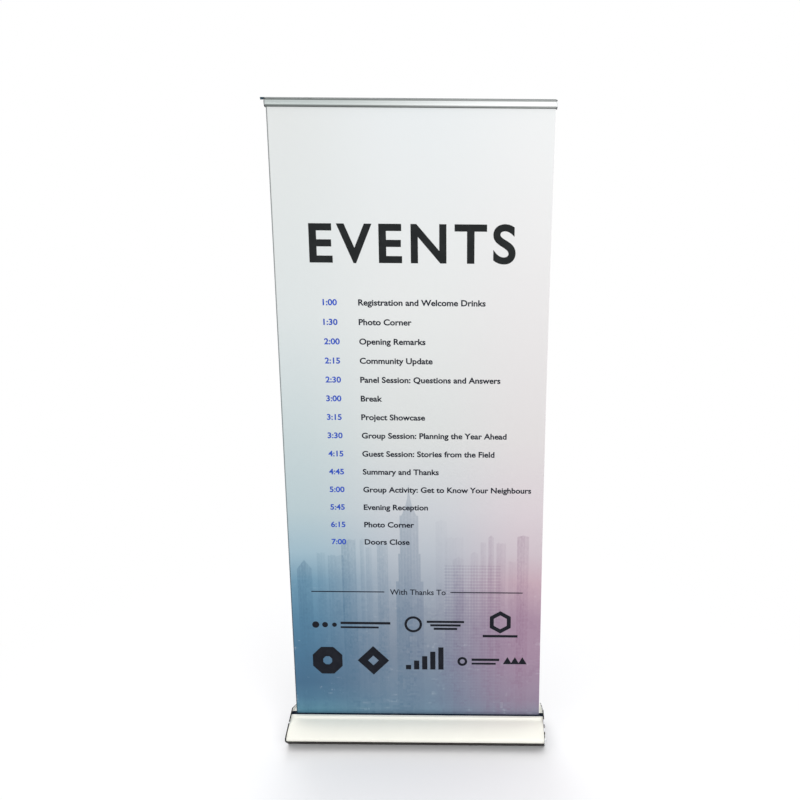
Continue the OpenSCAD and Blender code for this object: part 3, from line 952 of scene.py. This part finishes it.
def plateScrews():
    bm = bmesh.new()
    for side in (-1, 1):
        for y, z in cassette["ports"] + [screwForm["low"]]:
            for face in (-1, 1):
                screwHead(bm, face * y, z, side)
    axle = sum(box("roller_tube"), Vector()) / 2
    screwHead(bm, axle.y, axle.z, 1)
    piece("plateScrews", bm, finishes["screw"], "base", "screw", ["end_screws"], smooth=40)


plateScrews()


brushForm = {"foot": 1.4 * mm, "ledge": 4.2 * mm, "tip": 2.2 * mm, "round": 0.25 * mm, "tufts": 290,
             "root": 2.4 * mm, "gap": 0.9 * mm, "thick": 1.2 * mm, "thin": 0.6 * mm, "drop": 1.3 * mm,
             "lean": 0.3 * mm}


def brushStrip(name, node, side):
    # a ridged holder along the lip, with a pile that brushes the film
    f = brushForm
    low, high = box(node)
    near, far = sorted((abs(low.y), abs(high.y)))
    top, foot = high.z, low.z
    outline = [(side * u, z) for u, z in [
        (far, foot), (far, foot + f["foot"]), (far - f["ledge"], foot + f["foot"] + 0.1 * mm),
        (far - f["ledge"], top), (near + f["tip"], top), (near + f["tip"], foot)]]
    bm = prism(outline, -plateInner, plateInner)
    softened(bm, f["round"])
    piece(name, bm, finishes["trim"], "base", "slot_trim", [node])
    # tufts stand side by side and lean a little, each a tapered blade
    pile = bmesh.new()
    root = near + f["root"]
    for i in range(f["tufts"]):
        x = -plateInner + 2 * plateInner * (i + 0.5) / f["tufts"]
        tuft = bmesh.ops.create_cone(pile, cap_ends=True, segments=6, radius1=f["thick"],
                                     radius2=f["thin"], depth=root - f["gap"])["verts"]
        lie = (Matrix.Translation((x, side * (root + f["gap"]) / 2, top - f["drop"]))
               @ Matrix.Rotation(math.radians(90 * side), 4, "X")
               @ Matrix.Translation((math.sin(i * 12.9898) * f["lean"], 0, 0)))
        bmesh.ops.transform(pile, verts=tuft, matrix=lie)
    piece(name + "Pile", outward(pile), finishes["trim"], "base", "slot_trim")


brushStrip("brushFront", "slot_strip_front", -1)
brushStrip("brushRear", "slot_strip_rear", 1)
print("cassette built")


poleY = sum(box("pole_lower"), Vector()).y / 2
tubeForm = {"wall": 1.2 * mm, "chamfer": 0.3 * mm}


def poleTube(name, node, body):
    # a smooth round tube with small chamfers at its ends
    low, high = box(node)
    r, c = (high.x - low.x) / 2, tubeForm["chamfer"]
    inner = r - tubeForm["wall"]
    outline = [(inner, low.z), (r - c, low.z), (r, low.z + c), (r, high.z - c), (r - c, high.z),
               (inner, high.z)]
    tube = lathe(outline, (0, poleY, 0), "Z", 72)
    piece(name, tube, finishes["tube"], body, "pole_tube", [node])


poleTube("tubeLower", "pole_lower", "base")
poleTube("tubeMiddle", "pole_middle", "pole_middle")
poleTube("tubeUpper", "pole_upper", "pole_upper")


def roundedBox(halfX, halfY, corner, count=8):
    x, y = halfX - corner, halfY - corner
    circles = [(x, y, corner), (x, -y, corner), (-x, -y, corner), (-x, y, corner)]
    return [(px, py + poleY) for px, py in wrapped(circles, count)]


socketForm = {"block": (22 * mm, 17 * mm), "corner": 5 * mm, "blockLow": 66 * mm, "bore": 12.6 * mm,
              "barrel": 16 * mm, "flange": 25 * mm, "flangeTop": 10 * mm, "seat": 12 * mm, "edge": 1.2 * mm}


def poleSocket():
    f = socketForm
    low, high = box("pole_socket")
    bm = bmesh.new()
    top = [bm.verts.new((x, y, high.z)) for x, y in roundedBox(*f["block"], f["corner"])]
    outer = [bm.edges.new(pair) for pair in zip(top, top[1:] + top[:1])]
    place = Matrix.Translation((0, poleY, high.z))
    hole = bmesh.ops.create_circle(bm, radius=f["bore"], segments=48, matrix=place)["verts"]
    inner = list({e for v in hole for e in v.link_edges})
    bmesh.ops.bridge_loops(bm, edges=outer + inner)
    pushed(bm, (0, 0, f["blockLow"] - high.z))
    softened(bm, f["edge"], 60, 3)
    barrel = [(0.0, low.z), (f["flange"], low.z), (f["flange"], f["flangeTop"]),
              (f["barrel"], f["flangeTop"]), (f["barrel"], f["blockLow"]), (f["bore"], f["blockLow"]),
              (f["bore"], f["seat"]), (0.0, f["seat"])]
    gathered(bm, lathe(barrel, (0, poleY, 0), "Z", 48))
    piece("poleSocket", bm, finishes["plastic"], "base", "dark_plastic", ["pole_socket"])


poleSocket()

collarForm = {"wall": 3.2 * mm, "head": 2 * mm, "skirt": 30 * mm, "shoulder": 19 * mm, "top": 25 * mm,
              "chamfer": 1.0 * mm, "rib": 1.3 * mm, "ribLength": 38 * mm, "ribs": 12, "ribOut": 3 * mm}


def twistCollar(name, node, inner, body):
    f = collarForm
    low, high = box(node)
    end = low.z + f["skirt"]
    bore = (high.x - low.x) / 2 - f["ribOut"] - f["rib"]
    slide = (box(inner)[1].x - box(inner)[0].x) / 2 + 0.3 * mm
    wide, neck, c = bore + f["wall"], bore + f["head"], f["chamfer"]
    outline = [(bore + 0.05 * mm, -f["skirt"]), (wide - c, -f["skirt"]), (wide, c - f["skirt"]),
               (wide, f["shoulder"] - c), (wide - c * 0.8, f["shoulder"]), (neck, f["shoulder"] + 0.3 * mm),
               (neck, f["top"] - c), (neck - c, f["top"]), (slide, f["top"]), (slide, 0.3 * mm),
               (bore + 0.05 * mm, 0.3 * mm)]
    bm = lathe(outline, (0, poleY, end), "Z", 72)
    for i in range(f["ribs"]):
        rib = bmesh.new()
        bmesh.ops.create_cone(rib, cap_ends=True, segments=14, radius1=f["rib"], radius2=f["rib"],
                              depth=f["ribLength"])
        softened(rib, 0.7 * mm, 60, 3)
        turn = Matrix.Rotation(math.tau * i / f["ribs"], 4, "Z")
        lift = end - f["skirt"] + 6 * mm + f["ribLength"] / 2
        bmesh.ops.transform(rib, verts=rib.verts, matrix=Matrix.Translation((0, poleY, lift)) @ turn
                            @ Matrix.Translation((bore + f["ribOut"], 0, 0)))
        gathered(bm, rib)
    piece(name, bm, finishes["plastic"], body, "dark_plastic", [node])


twistCollar("collarLower", "collar_lower", "pole_middle", "collar_lower")
twistCollar("collarMiddle", "collar_middle", "pole_upper", "collar_middle")

hookForm = {"arm": 7 * mm, "half": 11 * mm, "corner": 1 * mm, "near": 5 * mm, "far": 8.6 * mm,
            "edge": 0.6 * mm, "plug": 8.3 * mm, "plugLength": 26 * mm}


def poleHook():
    f = hookForm
    foot = box("pole_upper")[1].z
    top = box("pole_hook")[1].z
    radius = (box("pole_upper")[1].x - box("pole_upper")[0].x) / 2 + 1 * mm
    c = f["corner"]
    corners = [(side * (f["half"] - c), f["near"] + c, c) for side in (1, -1)]
    arm = wrapped([(0, poleY, radius)] + corners, 20)
    bm = slab(arm, foot, foot + f["arm"])
    softened(bm, f["edge"], 60, 2)
    near, far, half = f["near"], f["far"], f["half"]
    tongue = slab([(-half, near), (-half, far), (half, far), (half, near)], foot, top)
    softened(tongue, f["edge"], 60, 3)
    gathered(bm, tongue)
    plug = [(0.0, -f["plugLength"]), (f["plug"], -f["plugLength"]), (f["plug"], 0.0), (0.0, 0.0)]
    gathered(bm, lathe(plug, (0, poleY, foot), "Z", 40))
    piece("poleHook", bm, finishes["plastic"], "pole_upper", "dark_plastic", ["pole_hook"])


poleHook()


# the button's outline as shares of its radius and height
pinForm = {"shank": 2 * mm,
           "dome": [(0.0, 1.0), (0.55, 0.97), (0.82, 0.82), (0.96, 0.55), (1.0, 0.3), (1.0, 0.0)]}


def lockPin():
    # a domed red button on a thin pin
    low, high = box("lock_pin")
    tall, r = high.x - plateOuter, (high.z - low.z) / 2
    shank, tail = pinForm["shank"], low.x - plateOuter
    outline = [(r * wide, tall * up) for wide, up in pinForm["dome"]]
    outline += [(shank, 0.0), (shank, tail), (0.0, tail)]
    centre = (plateOuter, (low.y + high.y) / 2, (low.z + high.z) / 2)
    piece("lockPin", lathe(outline, centre, "X", 40), finishes["red"], "lock_pin", "red_plastic",
          ["lock_pin"])


lockPin()
print("pole built")

footForm = {"stud": 4 * mm, "flange": 2.8 * mm, "pitch": 1.25 * mm, "thread": 0.5 * mm, "plain": 1.5 * mm,
            "end": 1 * mm, "taper": 0.6 * mm}


def levellingFoot(name, node):
    # a round pad with soft edges under a threaded stud
    f = footForm
    low, high = box(node)
    pad, tall, stud, flange = (high.x - low.x) / 2, high.z, f["stud"], f["flange"]
    outline = [(0.0, 0.0), (pad - 1.2 * mm, 0.0), (pad - 0.3 * mm, 0.4 * mm), (pad, 1.1 * mm),
               (pad - 0.2 * mm, flange - 0.3 * mm), (pad - 0.9 * mm, flange), (stud, flange)]
    along = flange + f["plain"]
    while along + f["pitch"] < tall - f["end"]:
        outline += [(stud, along), (stud - f["thread"], along + f["pitch"] / 2)]
        along += f["pitch"]
    outline += [(stud, along), (stud - f["taper"], tall), (0.0, tall)]
    turned = lathe(outline, ((low.x + high.x) / 2, (low.y + high.y) / 2, 0), "Z", 48)
    piece(name, turned, finishes["rubber"], node, "rubber_foot", [node])


for end in ("Front", "Rear"):
    for side in ("Left", "Right"):
        levellingFoot("foot" + end + side, f"foot_{end}_{side}".lower())
print("feet turned")


gripForm = {"radius": 1.7 * mm, "forward": 2.3 * mm, "up": 1.8 * mm, "edge": 0.3 * mm,
            "tint": colour(82, 86, 85)}


def railGrip():
    # soft grip along the clamp's lower edge, which pinches the film; its dark grey also stands in as painted
    # shade under the jaw's lower lip
    f = gripForm
    low, high = box("rail_jaw")
    foot = box("rail_back")[0].z
    bm = bmesh.new()
    bmesh.ops.create_cone(bm, cap_ends=True, segments=20, radius1=f["radius"], radius2=f["radius"],
                          depth=high.x - low.x)
    place = Matrix.Translation((0, -f["forward"], foot + f["up"])) @ Matrix.Rotation(math.pi / 2, 4, "Y")
    bmesh.ops.transform(bm, verts=bm.verts, matrix=place)
    softened(bm, f["edge"], 60)
    piece("railGrip", bm, moulded("gripShadeGrey", f["tint"], 0.6), "rail_jaw", "rail_metal")


railGrip()

# carried-over frame pieces get their finishes
carried = {
    "pan": ["base_pan"],
    "ballast": ["ballast_bar_left", "ballast_bar_right"],
    "brass": ["foot_inserts"],
    "roller": ["roller_tube"],
    "plastic": ["roller_plug_left", "roller_plug_right"],
    "nylon": ["bush_left", "bush_right", "guide_bush_middle", "guide_bush_upper"],
    "steel": ["spring_arbor", "arbor_bracket", "spring_anchor", "stub_axle"],
    "spring": ["torsion_spring"],
    "screw": ["socket_screws", "rail_cap_screws"],
    "rail": ["rail_back"],
    "jaw": ["rail_jaw"],
    "insert": ["rail_insert"],
    "cap": ["rail_cap_left", "rail_cap_right"],
}
for finish, nodes in carried.items():
    repaint(finishes[finish], nodes)
repaint(filmBack, ["wound_film"])
print("frame pieces painted")
